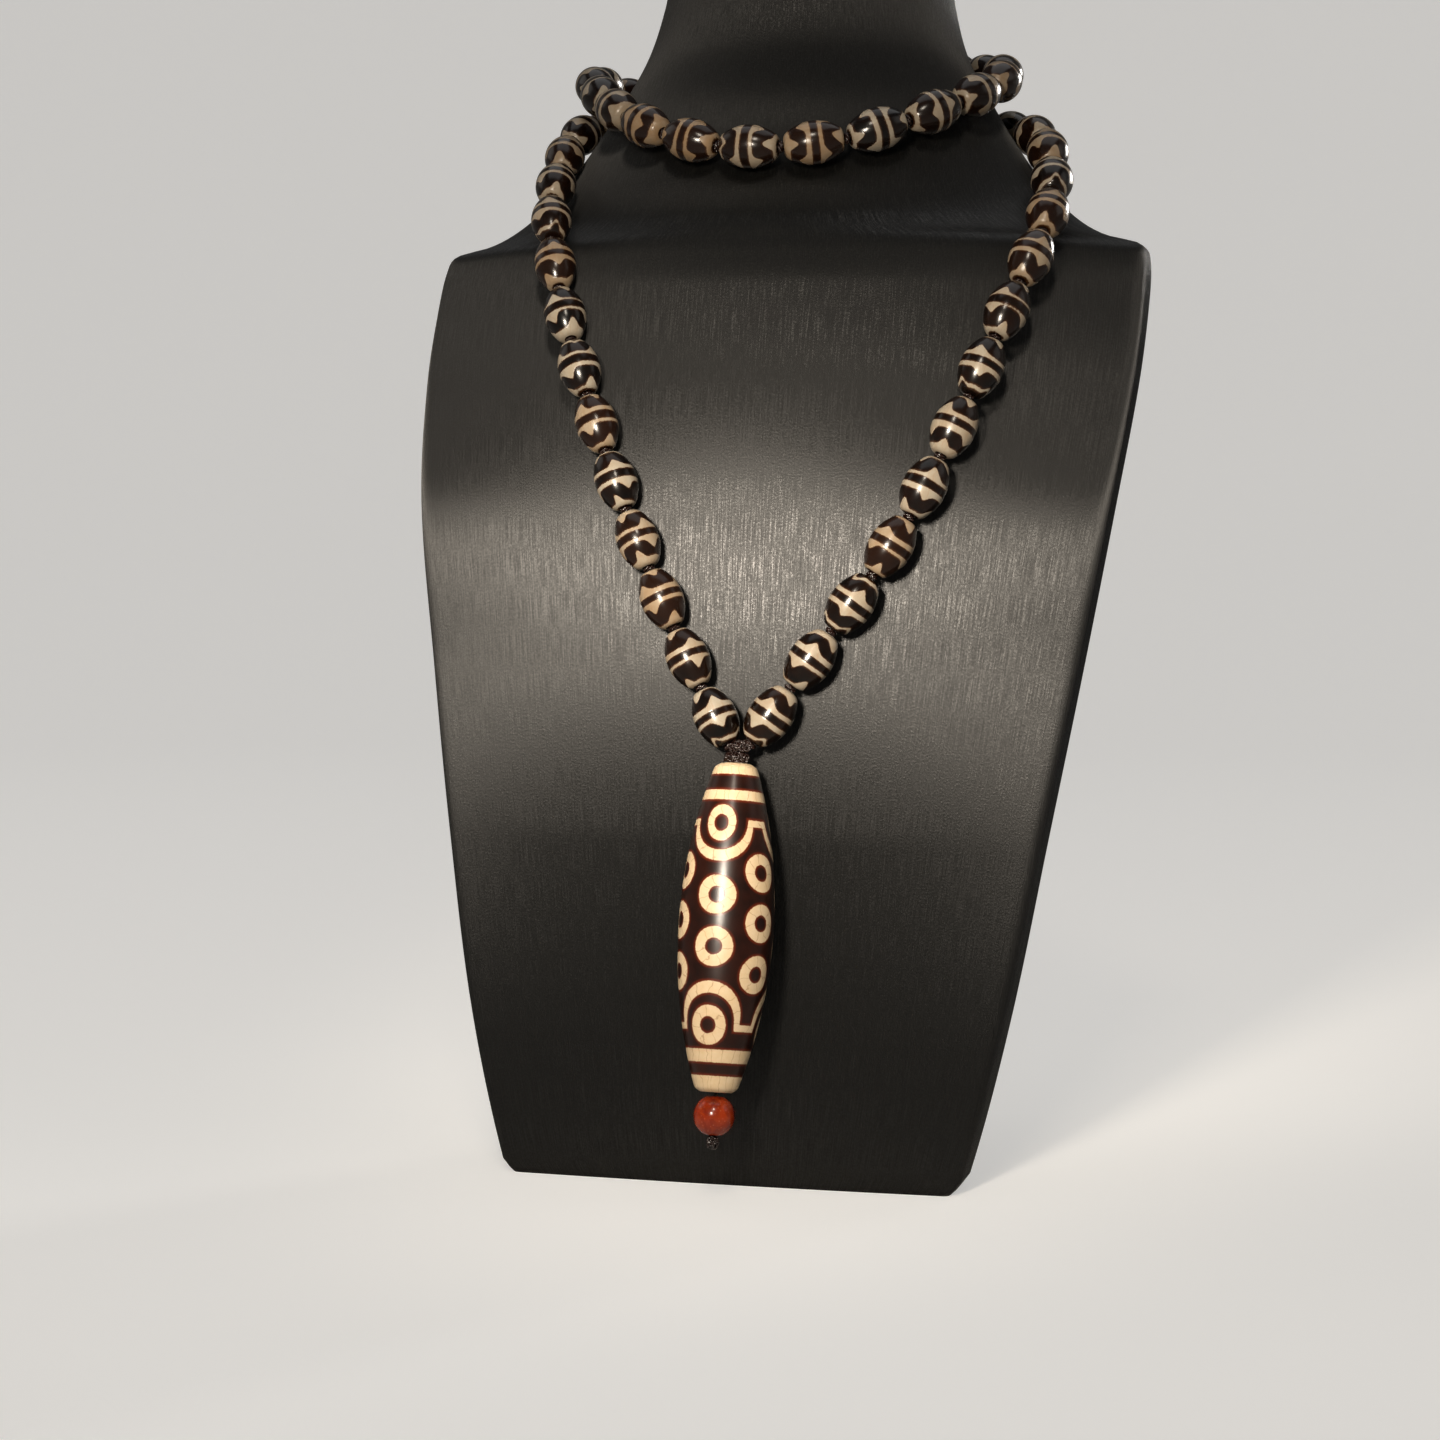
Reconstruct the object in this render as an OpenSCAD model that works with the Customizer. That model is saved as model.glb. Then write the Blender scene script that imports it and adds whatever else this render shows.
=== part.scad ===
// A long knotted string of barrel-shaped dzi beads, worn twice round a neck bust, with a pendant at its V.
// The front faces -Y and +X is to the right. The origin is the centre of the bust's base.

/* [Bust] */
// Height of the bust
bust_h = 300; // [285:1:315]
// Width across the shoulders
bust_w = 178; // [170:1:184]
// Depth from the front of the chest to the back of the neck
bust_d = 118; // [112:0.5:120]
// Thickness of the side faces of the chest
panel_t = 15; // [8:0.5:22]

/* [Small beads] */
// Length of a small bead
bead_l = 14; // [13:0.1:15]
// Diameter at the middle of a small bead
bead_d = 10; // [8.5:0.1:10.2]
// Diameter of the face at each end of a small bead
bead_face_d = 4.6; // [3.8:0.1:5]
// Diameter of the bore through a small bead
bead_bore = 2; // [1.6:0.1:2.4]
// Space between two small beads, where the knot sits
bead_gap = 1.35; // [1.25:0.05:2]

/* [Thread] */
// Diameter of the thread through the small beads
thread_d = 1; // [0.6:0.05:1.2]
// Diameter of the knot between two small beads
bead_knot_d = 2.8; // [2.5:0.1:3.4]

/* [Knots of the V] */
// Diameter of the knot that joins both ends of the string
strand_knot_d = 1.9; // [1.5:0.1:2]
// Length of the knot that carries the pendant
pendant_knot_l = 5.2; // [4:0.1:5.4]
// Diameter of the knot that carries the pendant
pendant_knot_d = 2.6; // [2:0.1:2.7]

/* [Pendant] */
// Length of the pendant
pendant_l = 74.5; // [66:0.5:80]
// Diameter at the middle of the pendant
pendant_d = 21.6; // [19:0.1:23]
// Diameter to which the long arc of the pendant narrows at its ends
pendant_end_d = 9.2; // [8.4:0.1:10]
// Diameter of the flat face round the bore at each end of the pendant
pendant_face_d = 7; // [5:0.1:7.6]
// Radius of the dome that rounds each end of the pendant
pendant_dome_r = 8; // [7:0.5:10]
// Diameter of the bore through the pendant and the red bead
pendant_bore = 2; // [1.6:0.1:2.6]
// Diameter of the thread through the pendant
cord_d = 1.2; // [0.8:0.1:1.4]
// Angle by which the pendant hangs to one side
pendant_lean = 1; // [0:0.5:3]

/* [Red bead] */
// Diameter of the red bead
red_bead_d = 9.5; // [8:0.1:11]
// Length of the red bead between the faces round its bore
red_bead_l = 8.7; // [7.6:0.1:9.1]
// Space between the pendant and the red bead
red_bead_gap = 0.9; // [0.3:0.1:1.5]
// Diameter of the stopper knot at the end
end_knot_d = 2.6; // [2.3:0.1:2.8]
// Length of the stopper knot at the end
end_knot_l = 3; // [2.9:0.1:4]

/* [Hidden] */
// The way of the string over the bust, from the knot of the V up its left side, behind the neck,
// over the front of the neck, behind the neck again and down the right side to the knot.
route = [
    [2.4, -57.5, 102.6], [-8, -54.5, 121.5], [-22, -50, 150], [-34, -43, 177], [-45, -32.5, 203],
    [-53.5, -17.5, 227], [-57, 2, 242.5], [-58, 22, 254.5], [-50, 41, 260], [-37.5, 55.5, 265],
    [-21.5, 67, 270], [0, 72.5, 274.5], [21.5, 67.5, 275], [37.5, 54.5, 271], [48.5, 37.5, 268],
    [52, 20, 264], [48, 5, 258], [38, -8.5, 252], [24, -17.5, 246], [6, -23, 243],
    [-12, -21.5, 244], [-28, -15.5, 249], [-41.5, -3.5, 256], [-48, 9, 261], [-55.5, 24, 267],
    [-57, 40, 269], [-51.5, 56.5, 267], [-37.5, 69, 264], [-17, 73, 261.5], [4, 70.5, 260],
    [24, 66, 259], [41, 54, 257], [54, 37, 253], [62, 21, 249], [66, 4, 237],
    [67.5, -12, 226], [60, -28.5, 202], [50.5, -39.5, 176], [38, -48, 149], [20, -53.5, 122.5],
    [7.1, -57.5, 103.2]
];

// The strands in the order of the string: left side, nape, collar, nape again, right side.
// Columns: share of all the small beads, size of its beads as a share of the size above
strands = [[0.228, 1], [0.158, 1], [0.193, 1.03], [0.175, 1], [0.246, 1.03]];
LEFT = 0;
NAPE_INNER = 1;
COLLAR = 2;
NAPE_OUTER = 3;
RIGHT = 4;

// Sections of the bust from the base up. Columns: height as a share of bust_h, half width as a share of
// half bust_w, front and side edge as shares of bust_d, side face as a share of panel_t, back as a share
// of bust_d, and fullness of the curve between the middle and the edge, where 0.5 is an ellipse
sections = [
    [0.000, 0.590, 0.010, 0.020, 1.00, 0.860, 1.00],
    [0.010, 0.620, 0.005, 0.015, 1.00, 0.865, 1.00],
    [0.130, 0.720, 0.000, 0.035, 1.00, 0.865, 1.00],
    [0.270, 0.805, 0.000, 0.085, 1.00, 0.865, 1.00],
    [0.400, 0.880, 0.020, 0.150, 1.00, 0.870, 1.00],
    [0.530, 0.950, 0.060, 0.220, 1.00, 0.880, 1.00],
    [0.630, 0.990, 0.110, 0.340, 1.00, 0.895, 1.00],
    [0.700, 1.000, 0.165, 0.440, 1.00, 0.910, 1.00],
    [0.728, 0.995, 0.195, 0.480, 1.00, 0.920, 0.98],
    [0.740, 0.975, 0.210, 0.500, 0.85, 0.925, 0.96],
    [0.748, 0.880, 0.220, 0.515, 0.70, 0.930, 0.93],
    [0.762, 0.800, 0.240, 0.535, 0.55, 0.940, 0.90],
    [0.785, 0.720, 0.265, 0.565, 0.35, 0.955, 0.82],
    [0.820, 0.630, 0.305, 0.600, 0.20, 0.970, 0.70],
    [0.860, 0.545, 0.340, 0.640, 0.10, 0.985, 0.60],
    [0.905, 0.460, 0.385, 0.675, 0.05, 0.992, 0.52],
    [0.950, 0.415, 0.415, 0.700, 0.05, 1.000, 0.50],
    [0.990, 0.395, 0.435, 0.715, 0.05, 1.000, 0.50],
    [1.000, 0.365, 0.465, 0.720, 0.05, 0.980, 0.50]
];
section_steps = 3; // rings between two rows of the table
half_points = 27; // steps across the front half of a ring, and across its back half

// Profile of a knot between two beads. Columns: place along the thread as a share of half the knot's
// length, thickness from the thread's, 0, to the knot's, 1
knot_profile = [[-1, 0], [-0.6, 0.8], [0, 1], [0.6, 0.8], [1, 0]];
knot_clear = 0.12; // from a knot to the bead beside it
thread_sides = 8;
route_steps = 10; // points of the smooth curve between two points of the route

knot_seat = 1.5; // from an end of the string to the first round of the knot of the V
swing_room = 0.5; // between the knot of the V and the knot that swings under it
knot_shift = 0.8; // of the pendant's knot to the left of the middle of the V
cord_clear = 0.1; // from the pendant's thread to the knots at its ends
drop_clear = 0.15; // from the pendant's knot to the pendant
stop_clear = 0.2; // from the red bead to the stopper knot
panel_clear = 0.4; // from the pendant to the chest that it leans on

$fn = 48;
arc_fn = 360; // for the circles of which a profile keeps a short arc

function unit(v) = v / norm(v);
function sum(list, n) = n > 0 ? list[n - 1] + sum(list, n - 1) : 0;
function two_digits(i) = str(i < 10 ? "0" : "", i);

// Radius of the arc that narrows from the diameter d at its middle to end_d at both ends of the length l
function barrel_r(l, d, end_d) = (l * l + (d - end_d) * (d - end_d)) / (4 * (d - end_d));

// Point of a smooth curve from b to c, whose neighbours on the route are a and d
function curve_point(a, b, c, d, u) =
    (2 * b + (c - a) * u + (2 * a - 5 * b + 4 * c - d) * u * u + (3 * b - a - 3 * c + d) * u * u * u) / 2;
route_end = len(route) - 1;
way = concat(
    [for (i = [0:route_end - 1], k = [0:route_steps - 1])
        let (before = i > 0 ? route[i - 1] : 2 * route[0] - route[1],
             after = i < route_end - 1 ? route[i + 2] : 2 * route[i + 1] - route[i])
        curve_point(before, route[i], route[i + 1], after, k / route_steps)],
    [route[route_end]]);
way_run = [for (i = 0, s = 0; i < len(way); s = s + (i < len(way) - 1 ? norm(way[i + 1] - way[i]) : 0), i = i + 1) s];
way_l = way_run[len(way) - 1];
way_tables = [for (axis = [0:2]) [for (i = [0:len(way) - 1]) [way_run[i], way[i][axis]]]];
function along_way(s) = [for (axis = [0:2]) lookup(s, way_tables[axis])];

// Places of the beads: the whole string is filled, so the gaps take up what is left over
strand_shares = [for (s = strands) s[0]];
mean_size = sum([for (s = strands) s[0] * s[1]], len(strands));
bead_n = round(way_l / ((bead_l + bead_gap) * mean_size));
function first_bead(strand) = round(bead_n * sum(strand_shares, strand));
function last_bead(strand) = first_bead(strand + 1) - 1;
bead_sizes = [for (s = [LEFT:RIGHT], i = [first_bead(s):last_bead(s)]) strands[s][1]];
size_run = [for (i = 0, s = 0; i <= bead_n; s = s + (i < bead_n ? bead_sizes[i] : 0), i = i + 1) s];
joints = [for (s = size_run) along_way(s * way_l / size_run[bead_n])];
function bead_axis(i) = unit(joints[i + 1] - joints[i]);

// The knots of the V and how the pendant hangs: its long arc leans on the flat front of the chest
strand_line = unit(joints[bead_n] - joints[0]);
strand_knot_ends = [joints[0] + knot_seat * strand_line, joints[bead_n] - knot_seat * strand_line];
hang = (strand_knot_ends[0] + strand_knot_ends[1]) / 2
    - [knot_shift, 0, strand_knot_d / 2 + pendant_knot_d / 2 + swing_room];
base_mid = (sections[0][2] + sections[0][5]) / 2;
chest_y = (min([for (s = sections) s[2]]) - base_mid) * bust_d;
pendant_arc_r = barrel_r(pendant_l, pendant_d, pendant_end_d);
pendant_top = pendant_knot_d / 2 + drop_clear;
arc_back = pendant_arc_r - pendant_d / 2;
arc_down = pendant_top + pendant_l / 2;
lean_reach = hang.y + pendant_arc_r - chest_y + panel_clear;
pendant_tilt = atan2(arc_down, arc_back) - acos(lean_reach / norm([arc_down, arc_back]));
red_bead_top = pendant_top + pendant_l + red_bead_gap;
end_knot_top = red_bead_top + red_bead_l + stop_clear;

bust_color = "#161617";
bead_color = "#3a271c";
pendant_color = "#43180f";
red_color = "#9c2416";
thread_color = "#4b2c1b";

// A row of the bust's table between row i and the next one, on a smooth curve that doesn't overshoot
function row_slope(i) = let (a = sections[max(i - 1, 0)], b = sections[min(i + 1, len(sections) - 1)])
    (b - a) / (b[0] - a[0]);
function tamed(slope, step) = slope * step <= 0 ? 0 : sign(step) * min(abs(slope), 3 * abs(step));
function section_row(i, u) = let (a = sections[i], b = sections[i + 1], h = b[0] - a[0],
        from = row_slope(i) * h, to = row_slope(i + 1) * h)
    [for (c = [0:len(a) - 1])
        (2 * u * u * u - 3 * u * u + 1) * a[c] + (u * u * u - 2 * u * u + u) * tamed(from[c], b[c] - a[c])
        + (3 * u * u - 2 * u * u * u) * b[c] + (u * u * u - u * u) * tamed(to[c], b[c] - a[c])];

// The ring of points of one row: the front from left to right, then the back from right to left
function section_ring(row) = let (
        half_w = row[1] * bust_w / 2,
        front_y = (row[2] - base_mid) * bust_d,
        edge_y = (row[3] - base_mid) * bust_d,
        side_y = edge_y + row[4] * panel_t,
        back_y = (row[5] - base_mid) * bust_d)
    concat(
        [for (k = [0:half_points]) let (t = -90 + 180 * k / half_points)
            [half_w * sin(t), edge_y + (front_y - edge_y) * pow(abs(cos(t)), 2 * row[6]), row[0] * bust_h]],
        [for (k = [0:half_points]) let (t = 90 - 180 * k / half_points)
            [half_w * sin(t), side_y + (back_y - side_y) * pow(abs(cos(t)), 2 * row[6]), row[0] * bust_h]]);

// Closed solid through rings of equally many points, which run anticlockwise seen from the last ring
module rings_solid(rings) {
    n = len(rings[0]);
    last = len(rings) - 1;
    polyhedron(
        points = [for (ring = rings) each ring],
        faces = concat(
            [[for (k = [0:n - 1]) k]],
            [for (j = [0:last - 1], k = [0:n - 1]) let (a = j * n + k, b = j * n + (k + 1) % n)
                each [[a, a + n, b], [b, a + n, b + n]]],
            [[for (k = [n - 1:-1:0]) last * n + k]]));
}

module neck_bust() {
    rows = concat(
        [for (i = [0:len(sections) - 2], k = [0:section_steps - 1]) section_row(i, k / section_steps)],
        [sections[len(sections) - 1]]);
    color(bust_color) rings_solid([for (row = rows) section_ring(row)]);
}

// Solid of revolution with a bore along Z, whose outside is one long arc
module barrel(l, d, end_d, bore) {
    r = barrel_r(l, d, end_d);
    rotate_extrude() intersection() {
        translate([d / 2 - r, 0]) circle(r = r, $fn = arc_fn);
        translate([bore / 2, -l / 2]) square([d / 2, l]);
    }
}

// Rod along Z with round ends, of the length l over its ends
module round_rod(l, d) {
    cylinder(h = l - d, d = d, center = true);
    for (side = [-1, 1]) translate([0, 0, side * (l - d) / 2]) sphere(d = d);
}

// Moves what stands on Z to the line from one point to another
module between(from, to) {
    v = to - from;
    translate((from + to) / 2) rotate([0, acos(v.z / norm(v)), atan2(v.y, v.x)]) children();
}

module small_bead(i) {
    color(bead_color) between(joints[i], joints[i + 1]) scale(bead_sizes[i])
        barrel(bead_l, bead_d, bead_face_d, bead_bore);
}

module bead_strand(strand) {
    for (i = [first_bead(strand):last_bead(strand)]) small_bead(i);
}

// Ring of the thread's polygon round a point, across its direction, that starts away from the middle of
// the loops round the neck
loop_mid_y = bust_d / 4;
function thread_ring(p, direction, r) = let (
        outward = [p.x, p.y - loop_mid_y, 0],
        side = unit(outward - (outward * direction) * direction),
        up = cross(direction, side))
    [for (k = [0:thread_sides - 1]) let (t = 360 * k / thread_sides) p + r * (cos(t) * side + sin(t) * up)];

function knot_rings(i) = let (half_l = bead_gap / 2 - knot_clear)
    [for (row = knot_profile)
        let (side = row[0] < 0 ? bead_axis(i - 1) : bead_axis(i),
             direction = row[0] == 0 ? unit(bead_axis(i - 1) + bead_axis(i)) : side)
        thread_ring(joints[i] + row[0] * half_l * side, direction,
            thread_d / 2 + row[1] * (bead_knot_d - thread_d) / 2)];

module thread() {
    color(thread_color) rings_solid(concat(
        [thread_ring(joints[0], bead_axis(0), thread_d / 2)],
        [for (i = [1:bead_n - 1]) each knot_rings(i)],
        [thread_ring(joints[bead_n], bead_axis(bead_n - 1), thread_d / 2)]));
}

module strand_knot() {
    color(thread_color) between(strand_knot_ends[0], strand_knot_ends[1])
        round_rod(norm(strand_knot_ends[1] - strand_knot_ends[0]) + strand_knot_d, strand_knot_d);
}

module pendant_knot() {
    color(thread_color) translate(hang) rotate([0, 90, 0]) round_rod(pendant_knot_l, pendant_knot_d);
}

// Places what hangs under the pendant's knot, at a distance from the knot's middle along the pendant
module hanging(down) {
    translate(hang) rotate([-pendant_tilt, pendant_lean, 0]) translate([0, 0, -down]) children();
}

module dzi_pendant() {
    dome_z = pendant_l / 2 - sqrt(pendant_dome_r * pendant_dome_r - pendant_face_d * pendant_face_d / 4);
    color(pendant_color) hanging(pendant_top + pendant_l / 2) rotate_extrude() intersection() {
        translate([pendant_d / 2 - pendant_arc_r, 0]) circle(r = pendant_arc_r, $fn = arc_fn);
        translate([pendant_bore / 2, -pendant_l / 2]) square([pendant_d / 2, pendant_l]);
        union() {
            translate([0, dome_z]) circle(r = pendant_dome_r, $fn = arc_fn);
            translate([0, -dome_z]) circle(r = pendant_dome_r, $fn = arc_fn);
            translate([0, -dome_z]) square([pendant_d, 2 * dome_z]);
        }
    }
}

module red_bead() {
    color(red_color) hanging(red_bead_top + red_bead_l / 2) rotate_extrude() intersection() {
        circle(d = red_bead_d, $fn = arc_fn);
        translate([pendant_bore / 2, -red_bead_l / 2]) square([red_bead_d / 2, red_bead_l]);
    }
}

module pendant_cord() {
    cord_top = pendant_knot_d / 2 + cord_clear;
    cord_l = end_knot_top - cord_clear - cord_top;
    color(thread_color) hanging(cord_top + cord_l / 2) cylinder(h = cord_l, d = cord_d, center = true);
}

module end_knot() {
    color(thread_color) hanging(end_knot_top + end_knot_l / 2) round_rod(end_knot_l, end_knot_d);
}

left_names = [for (i = [1:first_bead(NAPE_INNER)]) str("bead_left_", two_digits(i))];
collar_names = [for (i = [1:first_bead(NAPE_OUTER) - first_bead(COLLAR)]) str("bead_collar_", two_digits(i))];
right_names = [for (i = [1:bead_n - first_bead(RIGHT)]) str("bead_right_", two_digits(i))];

neck_bust();
for (i = [0:len(left_names) - 1])
    small_bead(i);
bead_strand(NAPE_INNER);  // nape_inner
for (i = [0:len(collar_names) - 1])
    small_bead(first_bead(NAPE_OUTER) - 1 - i);
bead_strand(NAPE_OUTER);  // nape_outer
for (i = [0:len(right_names) - 1])
    small_bead(bead_n - 1 - i);
thread();
strand_knot();
pendant_knot();
pendant_cord();
dzi_pendant();
red_bead();
end_knot();
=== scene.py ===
import math

import bpy
import numpy as np
from mathutils import Matrix


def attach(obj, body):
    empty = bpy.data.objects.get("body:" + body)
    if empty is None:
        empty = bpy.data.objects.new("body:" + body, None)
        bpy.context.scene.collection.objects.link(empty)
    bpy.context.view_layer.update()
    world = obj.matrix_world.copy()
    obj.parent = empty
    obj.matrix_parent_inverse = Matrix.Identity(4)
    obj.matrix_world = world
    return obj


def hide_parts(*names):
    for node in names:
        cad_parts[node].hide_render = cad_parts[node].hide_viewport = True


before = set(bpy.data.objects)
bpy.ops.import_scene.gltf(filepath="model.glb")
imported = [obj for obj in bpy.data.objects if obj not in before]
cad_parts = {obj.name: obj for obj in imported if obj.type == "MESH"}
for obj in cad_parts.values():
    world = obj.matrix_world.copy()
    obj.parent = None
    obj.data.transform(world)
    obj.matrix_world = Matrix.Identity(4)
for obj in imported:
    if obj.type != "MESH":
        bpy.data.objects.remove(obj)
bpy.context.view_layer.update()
mm = 0.001
capSpan = 450.0  # mm of a flat end face to one unit of its UV


def linear(hexColor):
    # sRGB hex to linear RGBA: c / 12.92 below 0.04045, else ((c + 0.055) / 1.055) ^ 2.4
    c = np.array([int(hexColor[i:i + 2], 16) for i in (1, 3, 5)]) / 255
    rgb = np.where(c <= 0.04045, c / 12.92, ((c + 0.055) / 1.055) ** 2.4)
    return (*rgb, 1.0)


def addNode(material, kind, settings=None, links=None):
    # One shader node with its settings and what feeds it. kind is its type's name after ShaderNode, and a
    # number names a socket by its place
    node = material.node_tree.nodes.new("ShaderNode" + kind)
    for key, value in (settings or {}).items():
        if isinstance(key, str) and hasattr(node, key):
            setattr(node, key, value)
        else:
            node.inputs[key].default_value = value
    for key, socket in (links or {}).items():
        material.node_tree.links.new(socket, node.inputs[key])
    return node


def newMaterial(name):
    material = bpy.data.materials.new(name)
    material.use_nodes = True
    material.node_tree.nodes.clear()
    return material


def unit(v):
    return v / np.linalg.norm(v, axis=-1, keepdims=True)


def fromFront(azimuth, elevation):
    # Direction in degrees, azimuth 0 straight in front and 90 at +X: (sin a cos e, -cos a cos e, sin e)
    a, e = math.radians(azimuth), math.radians(elevation)
    return np.array([math.sin(a) * math.cos(e), -math.cos(a) * math.cos(e), math.sin(e)])


def stand(thing, x, y, back, place):
    # Puts a camera or a lamp at a place in metres, looking away from back
    matrix = np.eye(4)
    matrix[:3] = np.stack([x, y, back, place], 1)
    thing.matrix_world = Matrix(matrix.tolist())
    bpy.context.scene.collection.objects.link(thing)


def makeMesh(name, points, uv, material, wrapRows=False, wrapCols=False, capEnds=False, fields=None):
    # points is (copies, rows, cols, 3) in mm: each copy is a grid of quads, closed along rows or columns
    # where asked. uv is (rows', cols', 2) with one more row or column where the grid is closed. capEnds
    # closes the first and the last row with a flat face, and a field gives each point a value
    copies, rows, cols, _ = points.shape
    i, j = np.meshgrid(np.arange(rows - (not wrapRows)), np.arange(cols - (not wrapCols)), indexing="ij")
    near, far = (i, (i + 1) % rows), (j, (j + 1) % cols)
    quads = np.stack([near[0] * cols + far[0], near[0] * cols + far[1],
                      near[1] * cols + far[1], near[1] * cols + far[0]], -1).reshape(-1, 4)
    cornerUv = np.stack([uv[i, j], uv[i, j + 1], uv[i + 1, j + 1], uv[i + 1, j]], 2).reshape(-1, 2)
    loops = (quads[None] + np.arange(copies)[:, None, None] * rows * cols).reshape(-1)
    allUv = np.tile(cornerUv, (copies, 1))
    totals = np.full(len(loops) // 4, 4)
    if capEnds:
        for k in range(copies):
            first = k * rows * cols
            for ring, v in ((np.arange(cols)[::-1], 0.0), ((rows - 1) * cols + np.arange(cols), 1.0)):
                flat = points[k].reshape(-1, 3)[ring, :2] / capSpan
                loops = np.concatenate([loops, first + ring])
                allUv = np.concatenate([allUv, flat + [0.5, v]])
                totals = np.append(totals, cols)
    mesh = bpy.data.meshes.new(name)
    mesh.vertices.add(copies * rows * cols)
    mesh.vertices.foreach_set("co", (points * mm).astype(np.float32).ravel())
    mesh.loops.add(len(loops))
    mesh.loops.foreach_set("vertex_index", loops.astype(np.int32))
    mesh.polygons.add(len(totals))
    mesh.polygons.foreach_set("loop_start", (np.cumsum(totals) - totals).astype(np.int32))
    mesh.polygons.foreach_set("loop_total", totals.astype(np.int32))
    mesh.update(calc_edges=True)
    mesh.polygons.foreach_set("use_smooth", np.ones(len(totals), bool))
    mesh.uv_layers.new(name="surface").data.foreach_set("uv", allUv.astype(np.float32).ravel())
    for key, values in (fields or {}).items():
        spread = np.broadcast_to(values, (copies, rows, cols)).astype(np.float32)
        mesh.attributes.new(key, "FLOAT", "POINT").data.foreach_set("value", spread.ravel())
    mesh.materials.append(material)
    mesh.validate()
    piece = bpy.data.objects.new(name, mesh)
    bpy.context.scene.collection.objects.link(piece)
    return piece


def gridUv(rows, cols):
    # u runs 0 to 1 along the columns and v 0 to 1 along the rows
    return np.stack(np.meshgrid(np.linspace(0, 1, cols), np.linspace(0, 1, rows)), -1)


# Camera: where the photograph was taken from, worked out from the bust's outline and the beads
camera = dict(azimuth=14.26, elevation=3.0, roll=0.29, target=(-3.47, -44.0, 107.98), distance=700.0,
              lens=75.075, sensor=36.0)


def placeCamera():
    # right = (cos a, sin a, 0) and up = back x right are both turned by the roll
    a, ro = math.radians(camera["azimuth"]), math.radians(camera["roll"])
    back = fromFront(camera["azimuth"], camera["elevation"])
    right = np.array([math.cos(a), math.sin(a), 0.0])
    up = np.cross(back, right)
    x = right * math.cos(ro) + up * math.sin(ro)
    y = up * math.cos(ro) - right * math.sin(ro)
    data = bpy.data.cameras.new("camera")
    data.lens, data.sensor_width, data.sensor_fit = camera["lens"], camera["sensor"], "HORIZONTAL"
    data.clip_start, data.clip_end = 0.02, 50
    eye = bpy.data.objects.new("camera", data)
    stand(eye, x, y, back, (np.array(camera["target"]) + camera["distance"] * back) * mm)
    bpy.context.scene.camera = eye


placeCamera()
print("camera placed")

# Bust
bust = dict(height=300.0, width=178.0, depth=118.0, sideFace=15.0, shoulder=0.70, rows=210, front=96,
            side=12, easing=3, dark="#020202", light="#141413")
# Height, half width, front, side edge, side face, back and fullness, as shares of the sizes above
bustSections = np.array([
    [0.000, 0.590, 0.010, 0.020, 1.00, 0.860, 1.00],
    [0.010, 0.620, 0.005, 0.015, 1.00, 0.865, 1.00],
    [0.130, 0.720, 0.000, 0.035, 1.00, 0.865, 1.00],
    [0.270, 0.805, 0.000, 0.085, 1.00, 0.865, 1.00],
    [0.400, 0.880, 0.020, 0.150, 1.00, 0.870, 1.00],
    [0.530, 0.950, 0.060, 0.220, 1.00, 0.880, 1.00],
    [0.630, 0.990, 0.110, 0.340, 1.00, 0.895, 1.00],
    [0.700, 1.000, 0.165, 0.440, 1.00, 0.910, 1.00],
    [0.728, 0.995, 0.195, 0.480, 1.00, 0.920, 0.98],
    [0.740, 0.975, 0.210, 0.500, 0.85, 0.925, 0.96],
    [0.748, 0.880, 0.220, 0.515, 0.70, 0.930, 0.93],
    [0.762, 0.800, 0.240, 0.535, 0.55, 0.940, 0.90],
    [0.785, 0.720, 0.265, 0.565, 0.35, 0.955, 0.82],
    [0.820, 0.630, 0.305, 0.600, 0.20, 0.970, 0.70],
    [0.860, 0.545, 0.340, 0.640, 0.10, 0.985, 0.60],
    [0.905, 0.460, 0.385, 0.675, 0.05, 0.992, 0.52],
    [0.950, 0.415, 0.415, 0.700, 0.05, 1.000, 0.50],
    [0.990, 0.395, 0.435, 0.715, 0.05, 1.000, 0.50],
    [1.000, 0.365, 0.465, 0.720, 0.05, 0.980, 0.50]])


def bustRows(h):
    # Smooth rows at the heights h: between two rows a cubic with tamed slopes, so nothing overshoots
    t = bustSections[:, 0]
    k = np.clip(np.searchsorted(t, h, side="right") - 1, 0, len(t) - 2)
    before, after = np.maximum(np.arange(len(t)) - 1, 0), np.minimum(np.arange(len(t)) + 1, len(t) - 1)
    slope = (bustSections[after] - bustSections[before]) / (t[after] - t[before])[:, None]
    step = bustSections[k + 1] - bustSections[k]
    gap = (t[k + 1] - t[k])[:, None]
    u = ((h - t[k]) / gap[:, 0])[:, None]

    def tamed(s):
        return np.where(s * step <= 0, 0, np.sign(step) * np.minimum(abs(s), 3 * abs(step)))
    a, b = tamed(slope[k] * gap), tamed(slope[k + 1] * gap)
    return ((2 * u ** 3 - 3 * u ** 2 + 1) * bustSections[k] + (u ** 3 - 2 * u ** 2 + u) * a
            + (3 * u ** 2 - 2 * u ** 3) * bustSections[k + 1] + (u ** 3 - u ** 2) * b)


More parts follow.
